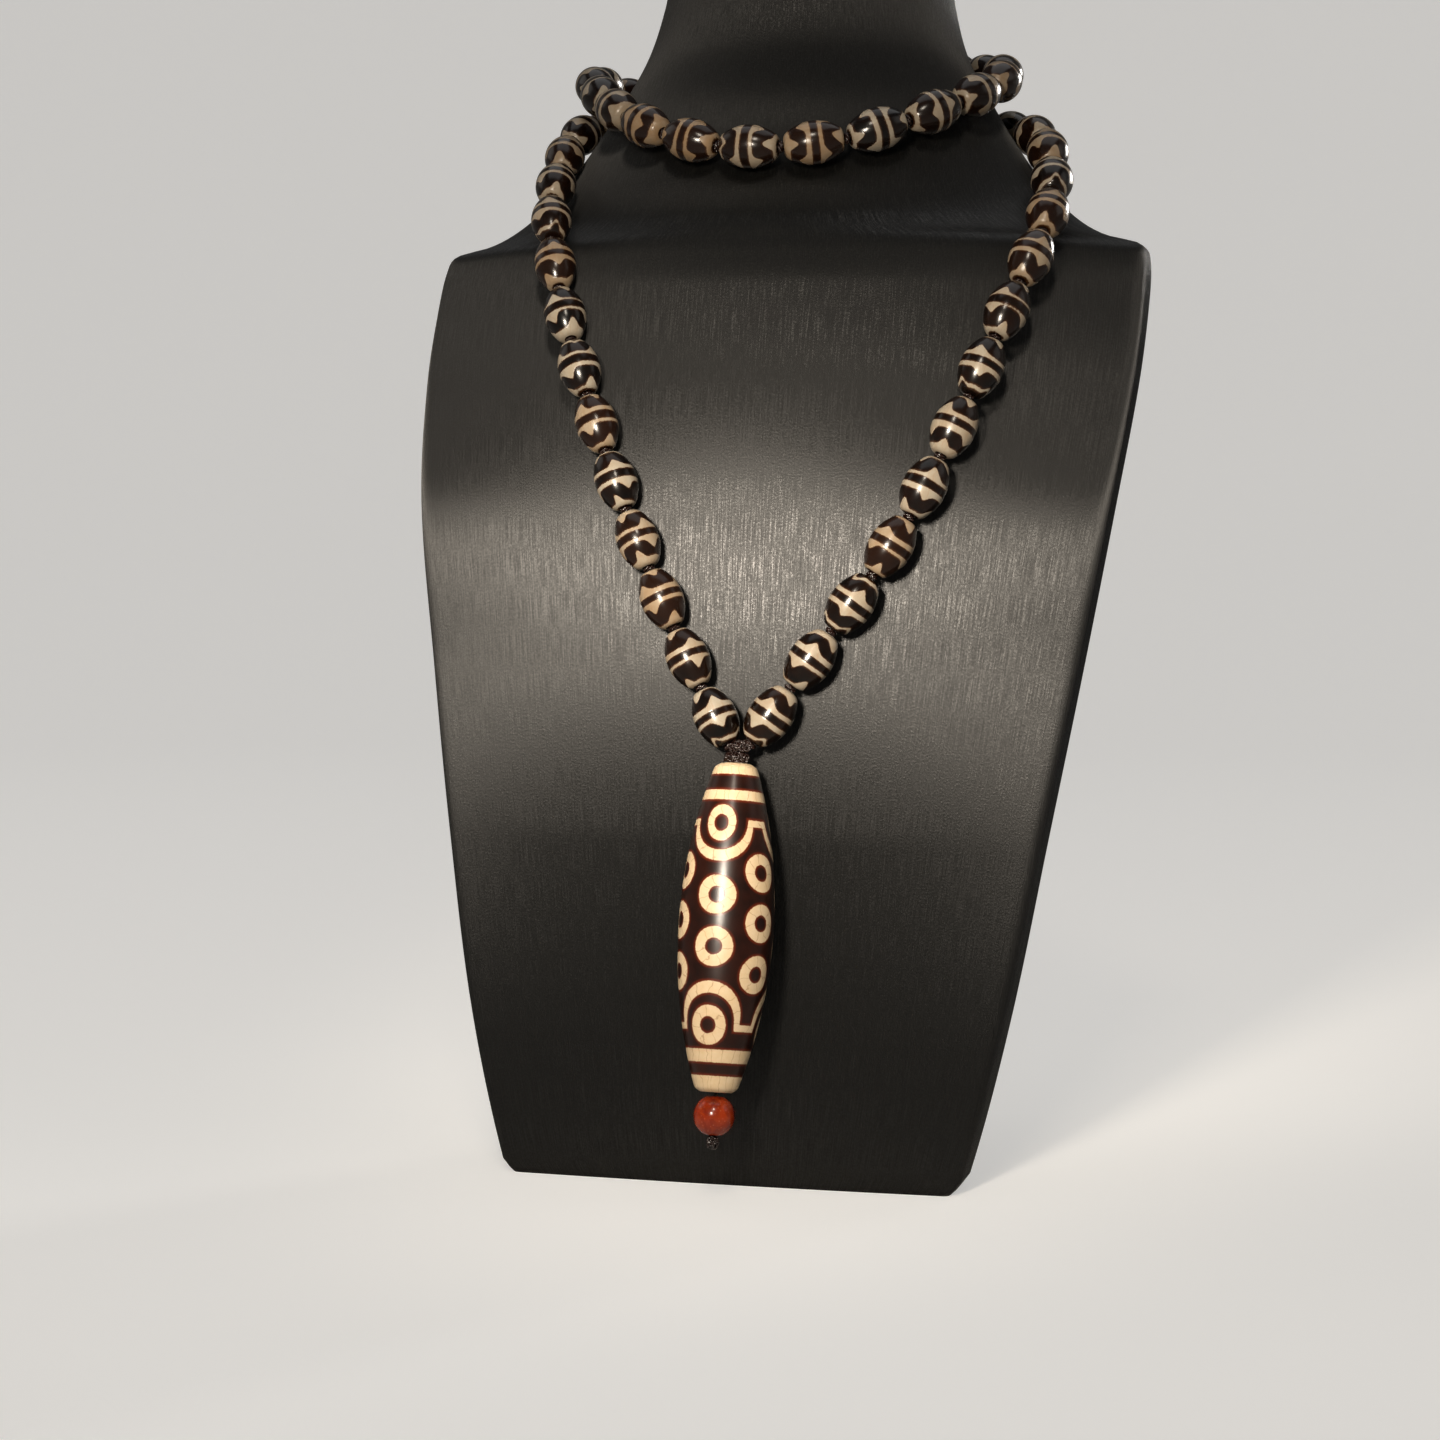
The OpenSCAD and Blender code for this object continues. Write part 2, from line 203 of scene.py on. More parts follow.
def bustSurface():
    # Ring at each height: x = half width * p, y = edge + (front - edge) * (1 - p^2) ^ fullness over the
    # front, the same over the back, and straight side faces between them. The corners are then eased.
    # Half of the rows lie above the shoulder, where the shape changes fast
    count, step = bust["rows"] // 2, 0.004
    heights = np.concatenate([[0], np.linspace(step, bust["shoulder"], count),
                              np.linspace(bust["shoulder"] + step, 1, count)])
    row = bustRows(heights)[:, :, None]
    middle = (bustSections[0, 2] + bustSections[0, 5]) / 2
    half = row[:, 1] * bust["width"] / 2
    front, edge, back = ((row[:, c] - middle) * bust["depth"] for c in (2, 3, 5))
    sideY = edge + row[:, 4] * bust["sideFace"]
    full = row[:, 6]
    u = np.linspace(-1, 1, bust["front"] + 1)[None, :]
    # The rounder the section, the closer its points stand at the sides
    roundShare = np.clip((1 - full) * 2, 0.25, 1)
    p = (1 - roundShare) * u + roundShare * np.sin(u * np.pi / 2)
    arc = np.clip(1 - p ** 2, 0, 1) ** full
    f = np.linspace(0, 1, bust["side"] + 1)[None, 1:-1]
    x = np.concatenate([half * p, half + 0 * f, -half * p, -half + 0 * f], 1)
    y = np.concatenate([edge + (front - edge) * arc, edge + (sideY - edge) * f,
                        sideY + (back - sideY) * arc, sideY + (edge - sideY) * f], 1)
    for _ in range(bust["easing"]):
        x = (np.roll(x, 1, 1) + 2 * x + np.roll(x, -1, 1)) / 4
        y = (np.roll(y, 1, 1) + 2 * y + np.roll(y, -1, 1)) / 4
    z = np.broadcast_to(heights[:, None] * bust["height"], x.shape)
    rings = np.stack([x, y, z], -1)
    middleLine = rings.mean(1, keepdims=True)
    bottom, top = rings[:1], rings[-1:]
    # Two more rings inside each end keep the edge crisp before the flat face starts
    low = [middleLine[:1] + (bottom - middleLine[:1]) * s for s in (0.97, 0.99)]
    high = [middleLine[-1:] + (top - middleLine[-1:]) * s for s in (0.98, 0.95)]
    return np.concatenate(low + [rings] + high)[None]


def brushedLeatherette():
    # Coated fabric, brushed: near-black with fine upright streaks, whose sheen spreads sideways
    material = newMaterial("Black leatherette, brushed")
    place = addNode(material, "TexCoord").outputs["Object"]
    around = addNode(material, "UVMap", {"uv_map": "surface"}).outputs[0]
    # Streaks up and down the surface, 0.35 mm wide where it is 480 mm round and 9 mm long on the chest,
    # as half of v covers the lower 210 mm
    stretched = addNode(material, "Mapping", {"Scale": (1400.0, 45.0, 1.0)}, {"Vector": around}).outputs[0]
    streaks = addNode(material, "TexNoise", {"Scale": 1.0, "Detail": 2.0, "Roughness": 0.6},
                      {"Vector": stretched}).outputs[0]
    # Grain of the coating under the streaks, 0.5 mm
    grain = addNode(material, "TexNoise", {"Scale": 2200.0, "Detail": 2.0}, {"Vector": place}).outputs[0]
    uneven = addNode(material, "Math", {"operation": "MULTIPLY_ADD", 1: 0.6},
                     {0: grain, 2: streaks}).outputs[0]
    tone = addNode(material, "MapRange", {"From Min": 0.65, "From Max": 1.0}, {"Value": uneven}).outputs[0]
    color = addNode(material, "Mix",
                    {"data_type": "RGBA", 6: linear(bust["dark"]), 7: linear(bust["light"])},
                    {0: tone}).outputs[2]
    sheen = addNode(material, "MapRange", {"From Min": 0.6, "From Max": 1.0, "To Min": 0.78, "To Max": 0.4},
                    {"Value": uneven}).outputs[0]
    # The flat top of the neck isn't brushed, so it is matt
    matt = addNode(material, "Attribute", {"attribute_name": "matt"}).outputs["Fac"]
    rough = addNode(material, "Math", {"operation": "MULTIPLY_ADD", 1: 0.4}, {0: matt, 2: sheen}).outputs[0]
    bump = addNode(material, "Bump", {"Strength": 0.6, "Distance": 0.00008}, {"Height": uneven}).outputs[0]
    tangent = addNode(material, "Tangent", {"direction_type": "UV_MAP", "uv_map": "surface"}).outputs[0]
    shader = addNode(material, "BsdfPrincipled",
                     {"Metallic": 0.0, "IOR": 1.5, "Anisotropic": 1.0, "Specular IOR Level": 0.7},
                     {"Base Color": color, "Roughness": rough, "Normal": bump, "Tangent": tangent})
    addNode(material, "OutputMaterial", links={"Surface": shader.outputs[0]})
    return material


leatherette = brushedLeatherette()
bustPoints = bustSurface()
bustRings, bustCols = bustPoints.shape[1:3]
flatTop = (np.arange(bustRings) > bustRings - 4)[None, :, None]  # the top's edge and two rings inside it
bustPiece = makeMesh("bustForm", bustPoints, gridUv(bustRings, bustCols + 1), leatherette, wrapCols=True,
                     capEnds=True, fields={"matt": flatTop})
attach(bustPiece, "bust")
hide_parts("neck_bust")
print("bust made")

# String of beads: its way over the bust in mm, as in the part's source
stringWay = np.array([
    [2.4, -57.5, 102.6], [-8, -54.5, 121.5], [-22, -50, 150], [-34, -43, 177], [-45, -32.5, 203],
    [-53.5, -17.5, 227], [-57, 2, 242.5], [-58, 22, 254.5], [-50, 41, 260], [-37.5, 55.5, 265],
    [-21.5, 67, 270], [0, 72.5, 274.5], [21.5, 67.5, 275], [37.5, 54.5, 271], [48.5, 37.5, 268],
    [52, 20, 264], [48, 5, 258], [38, -8.5, 252], [24, -17.5, 246], [6, -23, 243],
    [-12, -21.5, 244], [-28, -15.5, 249], [-41.5, -3.5, 256], [-48, 9, 261], [-55.5, 24, 267],
    [-57, 40, 269], [-51.5, 56.5, 267], [-37.5, 69, 264], [-17, 73, 261.5], [4, 70.5, 260],
    [24, 66, 259], [41, 54, 257], [54, 37, 253], [62, 21, 249], [66, 4, 237],
    [67.5, -12, 226], [60, -28.5, 202], [50.5, -39.5, 176], [38, -48, 149], [20, -53.5, 122.5],
    [7.1, -57.5, 103.2]])
string = dict(beadLength=14.0, beadWidth=10.0, beadFace=4.6, bore=2.0, edge=0.8, gap=1.35, steps=10,
              mouth=((0.25, 0), (0.03, 0.08), (0, 0.2)))
# Share of all the beads and size of the beads: left side, nape, collar, nape again, right side
strandShares = np.array([0.228, 0.158, 0.193, 0.175, 0.246])
strandSizes = np.array([1.0, 1.0, 1.03, 1.0, 1.03])


def stringJoints():
    # Curve through the way's points a, b, c, d: (2b + (c-a)u + (2a-5b+4c-d)u^2 + (3b-a-3c+d)u^3) / 2.
    # It is filled with beads, and each joint lies where the share of the length of the bead before it ends
    first, last = 2 * stringWay[0] - stringWay[1], 2 * stringWay[-1] - stringWay[-2]
    ends = np.concatenate([[first], stringWay, [last]])
    a, b, c, d = (ends[k:len(ends) - 3 + k, None] for k in range(4))
    u = (np.arange(string["steps"]) / string["steps"])[None, :, None]
    square, cube = 2 * a - 5 * b + 4 * c - d, 3 * b - a - 3 * c + d
    curve = (2 * b + (c - a) * u + square * u ** 2 + cube * u ** 3) / 2
    curve = np.concatenate([curve.reshape(-1, 3), stringWay[-1:]])
    run = np.concatenate([[0], np.cumsum(np.linalg.norm(np.diff(curve, axis=0), axis=1))])
    count = round(run[-1] / ((string["beadLength"] + string["gap"]) * (strandShares @ strandSizes)))
    starts = np.round(count * np.concatenate([[0], np.cumsum(strandShares)])).astype(int)
    sizes = np.repeat(strandSizes, np.diff(starts))
    share = np.concatenate([[0], np.cumsum(sizes)]) / sizes.sum() * run[-1]
    return np.stack([np.interp(share, run, curve[:, k]) for k in range(3)], -1), sizes, starts


joints, beadSizes, strandStarts = stringJoints()
beadCount = len(beadSizes)
viewSide = np.array([math.sin(math.radians(14)), -math.cos(math.radians(14)), 0.05])  # to the camera
neckMiddle = np.array([0, 29.5, 0])


def throughBore(s, r, half, bore, mouth, flat=None):
    # Closes the outer profile (s, r) through the bore. Its mouth is given as mm in from the end face and mm
    # out from the bore, and flat is the radius up to which the end face is flat
    lead = [[0, bore]] + [[-half + deep, bore + wide] for deep, wide in mouth]
    lead = np.array(lead + ([] if flat is None else [[-half, flat]]))
    return np.concatenate([lead, np.stack([s, r], -1), lead[:0:-1] * [-1, 1]])


def barrelProfile():
    # Closed profile from the middle of the bore out over one end, along the outer arc and back through the
    # other end. The arc is r = width/2 - arcR + sqrt(arcR^2 - s^2), and over the last edge mm it turns in
    # by edge - sqrt(edge^2 - t^2), t being how far s is into that edge. v is 0 to 1 along the arc and goes
    # on beyond it
    length, width, edge = string["beadLength"], string["beadWidth"], string["edge"]
    arcR = (length ** 2 + (width - string["beadFace"]) ** 2) / (4 * (width - string["beadFace"]))
    u = np.linspace(-1, 1, tooth["along"])
    s = (u * 0.82 + 0.18 * np.sin(u * np.pi / 2)) * length / 2  # points stand closer at the ends
    t = np.clip(abs(s) - length / 2 + edge, 0, edge)
    r = width / 2 - arcR + np.sqrt(arcR ** 2 - s ** 2) - edge + np.sqrt(edge ** 2 - t ** 2)
    v = np.concatenate([[-0.5, -0.2, -0.12, -0.06], s / length + 0.5, [1.06, 1.12, 1.2, 1.5]])
    return throughBore(s, r, length / 2, string["bore"] / 2, string["mouth"]), v


def revolve(profile, centres, axes, facing, sizes, cols):
    # Point = centre + size * (s * axis + r * (cos a * facing + sin a * side)), side = axis x facing
    side = np.cross(axes, facing)
    a = np.linspace(0, 2 * np.pi, cols, endpoint=False)
    around = np.cos(a)[None, :, None] * facing[:, None] + np.sin(a)[None, :, None] * side[:, None]
    s, r = profile[:, 0][None, :, None, None], profile[:, 1][None, :, None, None]
    reach = s * axes[:, None, None] + r * around[:, None]
    return centres[:, None, None] + sizes[:, None, None, None] * reach


def towards(direction, axes):
    # The part of a direction that stands square to each axis
    return unit(direction - (axes @ direction)[:, None] * axes)


# Small beads. A tooth turn is the angle in degrees of a tooth from the side that faces the camera, on the
# half towards the top or right and on the half towards the bottom or left
tooth = dict(perTurn=3, middleLine=0.9, ring=0.95, height=2.5, spread=0.43, end=5.65, straightEnd=6.3,
             endHeight=2.1, endSpread=0.45, endLine=0.75, craze=3.0, around=76, along=53)
# How far each half strays from that, lowest and highest, as shares of it. lean is in radians to a mm,
# spacing in radians and sway in mm
stray = dict(ring=(0.8, 1.35), height=(0.75, 1.1), lean=(-0.07, 0.07), uneven=(0, 0.25), sway=0.09,
             spacing=(-0.06, 0.06), spread=(0.85, 1.1), middleLine=(0.8, 1.25), endSpread=(0.75, 1.15),
             endHeight=(0.75, 1.15), endLine=(0.8, 1.2))
# How each half ends: s with a straight line, t with a thin line that follows the teeth, f filled to the end
leftEnds = ["st", "ss", "ss", "ff", "ss", "ss", "ts", "sf", "ss", "st", "fs", "ss", "ss"]
rightEnds = ["ft", "fs", "tt", "ss", "ss", "sf", "st", "ss", "ts", "ss", "ft", "ss", "ss", "ss"]
collarEnds = ["ss", "fs", "ff", "ss", "st", "sf", "ss", "fs", "ss", "ts", "ss"]
leftTurns = [(13, 4), (25, 28), (-35, -27), (40, 40), (18, 27), (-35, -22), (60, -37), (-22, -40), (10, 10),
             (0, -40), (0, -50), (10, 40), (0, -30)]
rightTurns = [(-20, -25), (-12, -30), (6, 0), (-29, -52), (12, 13), (-55, 50), (-22, -7), (-35, -55),
              (15, 25), (0, -60), (0, -60), (0, -35), (0, -40), (20, 30)]
collarTurns = [(30, 0), (-45, 0), (20, 0), (-55, -60), (-55, -58), (42, -50), (-48, -60), (0, 15), (0, -45),
               (0, -50), (10, 50)]
random = np.random.default_rng(21)
fullTurn = 6.28  # range of the random phases


def inOrder(left, collar, right, napeA, napeB):
    # Both halves of every bead in the string's order: the half after the bead's middle, then the one before
    inner, outer = strandStarts[2] - strandStarts[1], strandStarts[4] - strandStarts[3]
    back = [[(b, a) for a, b in side[::-1]] for side in (collar, right)]
    return np.array([tuple(pair) for pair in left] + [napeA] * inner + back[0] + [napeB] * outer + back[1])


def beadFrames():
    # Centre, axis and facing side of each bead. The facing side is turned so that positive turns go to the
    # right or down in the picture, whichever way the string runs there
    start, end = joints[:-1], joints[1:]
    axes = unit(end - start)
    facing = towards(viewSide, axes)
    return (start + end) / 2, axes, facing


beadCentres, beadAxes, beadFacing = beadFrames()


def etchedTeeth(s, a, turns, ends, upright):
    # Signed distance in mm into the cream lines, for bead, row and column. On each half the ring and its
    # teeth fill middleLine < |s| < middleLine + ring + height * T, where T = (1 - d / spread)^1.25 falls
    # from a tooth's middle to nothing. The end line starts at |s| = end - endHeight * E, where
    # E = (1 - (1 - d) / endSpread)^1.1 is largest halfway between two teeth
    n = len(turns)
    a = a[None, None, :] * upright[:, None, None]
    pick = (s >= 0)[None, :, None]
    s = abs(s)[None, :, None]

    def eachHalf(pair):
        # pair has two rows, for the halves after and before each bead's middle
        return np.where(pick, pair[0][..., None, None], pair[1][..., None, None])

    def perHalf(low, high):
        return eachHalf(random.uniform(low, high, (2, n)))
    turn, kind = eachHalf(turns.T), eachHalf(ends.T)
    ring, height, lean = (perHalf(*stray[key]) for key in ("ring", "height", "lean"))
    height = height * (1 + perHalf(*stray["uneven"]) * np.sin(a + perHalf(0, fullTurn)))
    waves = sum(perHalf(-1, 1) * np.sin(k * a + perHalf(0, fullTurn)) for k in (1, 2, 3, 5)) * stray["sway"]
    t = a - turn - lean * (s - 1.5) + perHalf(*stray["spacing"]) * np.sin(2 * a)
    t = t * tooth["perTurn"] / (2 * np.pi)
    d = abs(t - np.round(t)) * 2
    point = np.clip(1 - d / (tooth["spread"] * perHalf(*stray["spread"])), 0, 1) ** 1.25
    outer = tooth["middleLine"] + tooth["ring"] * ring + waves + tooth["height"] * height * point
    near = s - tooth["middleLine"] * perHalf(*stray["middleLine"]) - 0.6 * waves
    fromMiddle = np.minimum(outer - s, near)
    e = np.clip(1 - (1 - d) / (tooth["endSpread"] * perHalf(*stray["endSpread"])), 0, 1) ** 1.1
    e = e * np.where(kind == "t", 0.7, 1.0)
    inner = np.where(kind == "s", tooth["straightEnd"], tooth["end"])
    inner = inner - tooth["endHeight"] * perHalf(*stray["endHeight"]) * e + waves
    straight = tooth["straightEnd"] + tooth["endLine"] * perHalf(*stray["endLine"]) + 0.5 * waves
    follows = inner + tooth["endLine"] * (1 + 0.3 * e)
    filled = string["beadLength"] / 2 + 0.3
    outerEnd = np.where(kind == "t", follows, np.where(kind == "f", filled, straight))
    fromEnd = np.minimum(s - inner, outerEnd - s)
    return np.maximum(fromMiddle, fromEnd)


def etchedAgate(name, dark, brown, cream, tan, rough, edge, bleed, speck):
    # Agate dyed dark, with lines etched cream and polished over: glassy, with a soft brown rim where the
    # dye bleeds, and cream that is mottled and finely crazed
    material = newMaterial(name)
    place = addNode(material, "TexCoord").outputs["Object"]
    etch = addNode(material, "Attribute", {"attribute_name": "etch"}).outputs["Fac"]
    tone = addNode(material, "Attribute", {"attribute_name": "tone"}).outputs["Fac"]
    crack = addNode(material, "Attribute", {"attribute_name": "crack"}).outputs["Fac"]
    # Ragged edge of the etching, 0.5 mm grit moved by a tenth of a millimetre
    grit = addNode(material, "TexNoise", {"Scale": 2000.0, "Detail": 2.0}, {"Vector": place}).outputs[0]
    ragged = addNode(material, "Math", {"operation": "MULTIPLY_ADD", 1: 0.28, 2: -0.14},
                     {0: grit}).outputs[0]
    depth = addNode(material, "Math", {"operation": "ADD"}, {0: etch, 1: ragged}).outputs[0]
    cloud = addNode(material, "TexNoise", {"Scale": 260.0, "Detail": 3.0}, {"Vector": place}).outputs[0]
    mixed = addNode(material, "Math", {"operation": "ADD", "use_clamp": True},
                    {0: cloud, 1: tone}).outputs[0]
    base = addNode(material, "MapRange", {"From Min": 0.35, "From Max": 0.95}, {"Value": mixed}).outputs[0]
    stone = addNode(material, "Mix", {"data_type": "RGBA", 6: linear(dark), 7: linear(brown)},
                    {0: base}).outputs[2]
    # Cream, tan in patches of 3 to 4 mm
    patch = addNode(material, "TexNoise", {"Scale": 330.0, "Detail": 4.0, "Roughness": 0.65},
                    {"Vector": place}).outputs[0]
    patchTone = addNode(material, "Math", {"operation": "MULTIPLY_ADD", 1: 0.8},
                        {0: tone, 2: patch}).outputs[0]
    shade = addNode(material, "MapRange", {"From Min": 0.38, "From Max": 1.15},
                    {"Value": patchTone}).outputs[0]
    line = addNode(material, "Mix", {"data_type": "RGBA", 6: linear(cream), 7: linear(tan)},
                   {0: shade}).outputs[2]
    # Craze lines across the etched lines, one about every 3 mm and 0.2 mm wide
    jitter = addNode(material, "Math", {"operation": "MULTIPLY_ADD", 1: 1.6},
                     {0: cloud, 2: crack}).outputs[0]
    saw = addNode(material, "Math", {"operation": "PINGPONG", 1: 0.5}, {0: jitter}).outputs[0]
    thin = addNode(material, "MapRange",
                   {"From Min": 0.012, "From Max": 0.05, "To Min": 1.0, "To Max": 0.0},
                   {"Value": saw}).outputs[0]
    faint = addNode(material, "Math", {"operation": "MULTIPLY", 1: speck}, {0: thin}).outputs[0]
    crazed = addNode(material, "Mix", {"data_type": "RGBA", 7: linear("#8a5c34")},
                     {0: faint, 6: line}).outputs[2]
    # Bleed of the dye at the rim, then the line itself
    rim = addNode(material, "MapRange", {"From Min": -bleed, "From Max": -0.05, "To Max": 0.85},
                  {"Value": depth}).outputs[0]
    rimmed = addNode(material, "Mix", {"data_type": "RGBA", 7: linear(edge)}, {0: rim, 6: stone}).outputs[2]
    inside = addNode(material, "MapRange",
                     {"From Min": -0.07, "From Max": 0.09, "interpolation_type": "SMOOTHSTEP"},
                     {"Value": depth}).outputs[0]
    color = addNode(material, "Mix", {"data_type": "RGBA"}, {0: inside, 6: rimmed, 7: crazed}).outputs[2]
    roughness = addNode(material, "MapRange", {"To Min": rough, "To Max": rough + 0.1},
                        {"Value": inside}).outputs[0]
    # The etched lines stand a few hundredths proud, and the polish is a little uneven
    swell = addNode(material, "TexNoise", {"Scale": 700.0, "Detail": 2.0}, {"Vector": place}).outputs[0]
    relief = addNode(material, "Math", {"operation": "MULTIPLY_ADD", 1: 0.5},
                     {0: swell, 2: inside}).outputs[0]
    bump = addNode(material, "Bump", {"Strength": 0.25, "Distance": 0.00006}, {"Height": relief}).outputs[0]
    shader = addNode(material, "BsdfPrincipled", {"Metallic": 0.0, "IOR": 1.54, "Specular IOR Level": 0.4},
                     {"Base Color": color, "Roughness": roughness, "Normal": bump})
    addNode(material, "OutputMaterial", links={"Surface": shader.outputs[0]})
    return material


beadAgate = etchedAgate("Agate, tiger tooth etched and polished", dark="#050302", brown="#1b0d06",
                        cream="#9b9282", tan="#866d50", rough=0.2, edge="#3d2412", bleed=0.4, speck=0.25)


def softened(field, passes):
    # Each value becomes the (1, 2, 1) / 4 mean of its neighbours, round the bead and then along it
    for _ in range(passes):
        field = (np.roll(field, 1, 2) + 2 * field + np.roll(field, -1, 2)) / 4
        wide = np.concatenate([field[:, :1], field, field[:, -1:]], 1)
        field = (wide[:, :-2] + 2 * field + wide[:, 2:]) / 4
    return field


def makeBeads():
    profile, v = barrelProfile()
    a = np.linspace(0, 2 * np.pi, tooth["around"], endpoint=False)
    upright = np.where(np.arange(beadCount) < strandStarts[2], 1.0, -1.0)
    turns = np.radians(inOrder(leftTurns, collarTurns, rightTurns, (0, 40), (50, 10)))
    ends = inOrder(leftEnds, collarEnds, rightEnds, ("s", "t"), ("s", "s"))
    s = (v[:-1] - 0.5) * string["beadLength"]
    etch = softened(etchedTeeth(s, a, turns, ends, upright), 2)
    # Past the ends of the arc, on the end faces and in the bore, the bead stays dark
    pastEnds = (abs(s) > string["beadLength"] / 2 + 0.05)[None, :, None]
    etch = np.where(pastEnds, np.minimum(etch, -0.15), etch)
    # Most beads are dark and a few are browner
    tones = random.uniform(0, 1, beadCount) ** 1.6 * 0.75
    craze = a * string["beadWidth"] / 2 / tooth["craze"]
    whole = revolve(profile, beadCentres, beadAxes, beadFacing, beadSizes, tooth["around"])
    uv = np.stack(np.meshgrid(np.linspace(0, 1, tooth["around"] + 1), v), -1)
    names = ("beadsLeft", "beadsNapeInner", "beadsCollar", "beadsNapeOuter", "beadsRight")
    nodes = ([f"bead_left_{k:02d}" for k in range(1, 14)], ["nape_inner"],
             [f"bead_collar_{k:02d}" for k in range(1, 12)], ["nape_outer"],
             [f"bead_right_{k:02d}" for k in range(1, 15)])
    for k, name in enumerate(names):
        part = slice(strandStarts[k], strandStarts[k + 1])
        shape = (part.stop - part.start, len(s), tooth["around"])
        fields = {"etch": etch[part], "tone": np.broadcast_to(tones[part][:, None, None], shape),
                  "crack": np.broadcast_to(craze[None, None, :], shape)}
        piece = makeMesh(name, whole[part], uv, beadAgate, wrapRows=True, wrapCols=True, fields=fields)
        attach(piece, "bust")
        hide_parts(*nodes[k])


makeBeads()
print("small beads made:", beadCount)

# Pendant. Its eyes stand in three columns of four, with columns of three between them. All heights are mm
# down from its top. wander is by how many degrees the columns stray at some heights
pendant = dict(length=74.5, width=21.6, endWidth=9.2, face=7.0, dome=8.0, bore=2.0,
               mouth=((0.3, 0), (0.05, 0.1), (0, 0.3)), around=220, along=330,
               hang=(3.95, -57.5, 100.15), tilt=9.70, lean=1.0, top=1.45, tone=0.15, craze=2.9,
               wander=((0, 13, 30, 44, 60, 75), (-4, -4, 0, 0, -5, -5)))
eyes = dict(columns=(14.1, 30.4, 42.0, 59.5), outer=((3.4, 4.15), (4.45, 4.4), (4.5, 4.45), (4.1, 4.45)),
            hole=(1.7, 2.0, 2.0, 1.85), holeFlat=1.05, between=(25.0, 36.3, 47.8), betweenOuter=4.3,
            betweenHole=1.9, radius=3.2)
# An arch over the upper eye and one under the lowest. Its outer radius changes from one height to the other
arches = dict(upperCentre=14.1, upperTop=13.2, upperInner=6.2, upperOuter=((14.1, 22.6), (7.45, 8.7)),
              lowerCentre=58.4, lowerFoot=60.7, lowerInner=6.0, lowerOuter=((49.7, 58.4), (8.7, 7.4)),
              cap=1.5, radius=7)
bands = dict(heights=((-2.0, 2.75), (6.5, 8.75), (64.9, 67.8), (70.8, 76.5)), radius=9.0)


def pendantFrame():
    # The pendant's own axes, turned by the tilt about X first and then by the lean about Y
    tilt, lean = math.radians(-pendant["tilt"]), math.radians(pendant["lean"])
    c, s = math.cos(tilt), math.sin(tilt)
    aboutX = np.array([[1, 0, 0], [0, c, -s], [0, s, c]])
    c, s = math.cos(lean), math.sin(lean)
    aboutY = np.array([[c, 0, s], [0, 1, 0], [-s, 0, c]])
    return aboutY @ aboutX


pendantAxes = pendantFrame()


def hanging(down):
    # The place that is down mm below the knot, along the pendant's axis
    return np.array(pendant["hang"]) - down * pendantAxes[:, 2]


def pendantProfile():
    # Closed profile: outside r is the lesser of width/2 - arcR + sqrt(arcR^2 - z^2) and the end's dome
    # sqrt(dome^2 - (|z| - domeZ)^2), then come the flat faces and the bore
    length, width, dome = pendant["length"], pendant["width"], pendant["dome"]
    arcR = (length ** 2 + (width - pendant["endWidth"]) ** 2) / (4 * (width - pendant["endWidth"]))
    domeZ = length / 2 - math.sqrt(dome ** 2 - pendant["face"] ** 2 / 4)
    u = np.linspace(-1, 1, pendant["along"])
    z = length / 2 * (0.9 * u + 0.1 * np.sin(u * np.pi / 2)) * 0.9995  # points stand closer at the ends
    arc = width / 2 - arcR + np.sqrt(arcR ** 2 - z ** 2)
    cap = np.sqrt(np.clip(dome ** 2 - np.clip(abs(z) - domeZ, 0, None) ** 2, 0, None))
    cap = np.where(abs(z) > domeZ, cap, 1e3)
    # A soft minimum of the two eases the line where the dome starts: -log(exp(-k arc) + exp(-k cap)) / k
    sharp = 6
    r = -np.logaddexp(-arc * sharp, -cap * sharp) / sharp
    return throughBore(z, r, length / 2, pendant["bore"] / 2, pendant["mouth"], r[0] - 0.5)


def pendantEtching(s, a, r):
    # Signed distance in mm into the cream, and a running length in mm along each cream line for its craze
    # lines. Across a column the distance is the arc from its middle, r * (angle - column)
    wander = np.radians(np.interp(s, *pendant["wander"]))[:, None]
    s, r = s[:, None], r[:, None]
    third = 2 * np.pi / 3

    def fromColumn(middle):
        return ((a[None, :] - middle - wander + third / 2) % third - third / 2) * r
    front, side = fromColumn(0), fromColumn(third / 2)
    best, run = np.full(front.shape, -5.0), np.zeros(front.shape)

    def lay(along, *depths):
        # A line lies where all its depths are above 0, and the deepest line wins
        nonlocal best, run
        depth = np.minimum.reduce(np.broadcast_arrays(front, *depths)[1:])
        run = np.where(depth > best, along, run)
        best = np.maximum(best, depth)
    for low, high in bands["heights"]:
        lay(a[None, :] * bands["radius"], s - low, high - s)
    for middle, (wide, tall), hole in zip(eyes["columns"], eyes["outer"], eyes["hole"]):
        oval = np.hypot(front / wide, (s - middle) / tall)
        inner = np.hypot(front, (s - middle) * wide / tall * eyes["holeFlat"])
        lay(np.arctan2(s - middle, front) * eyes["radius"], (1 - oval) * (wide + tall) / 2, inner - hole)
    for middle in eyes["between"]:
        ring = np.hypot(side, s - middle)
        lay(np.arctan2(s - middle, side) * eyes["radius"], eyes["betweenOuter"] - ring,
            ring - eyes["betweenHole"])
    for which, edge, sign in (("upper", "upperTop", 1), ("lower", "lowerFoot", -1)):
        centre, inner = arches[which + "Centre"], arches[which + "Inner"]
        reach = np.hypot(front, np.clip(sign * (s - centre), 0, None))
        within = sign * (s - arches[edge])
        lay(np.arctan2(s - centre, front) * arches["radius"], reach - inner,
            np.interp(s, *arches[which + "Outer"]) - reach, within)
        lay(front, within, arches["cap"] - within, abs(front) - inner)
    return best, run


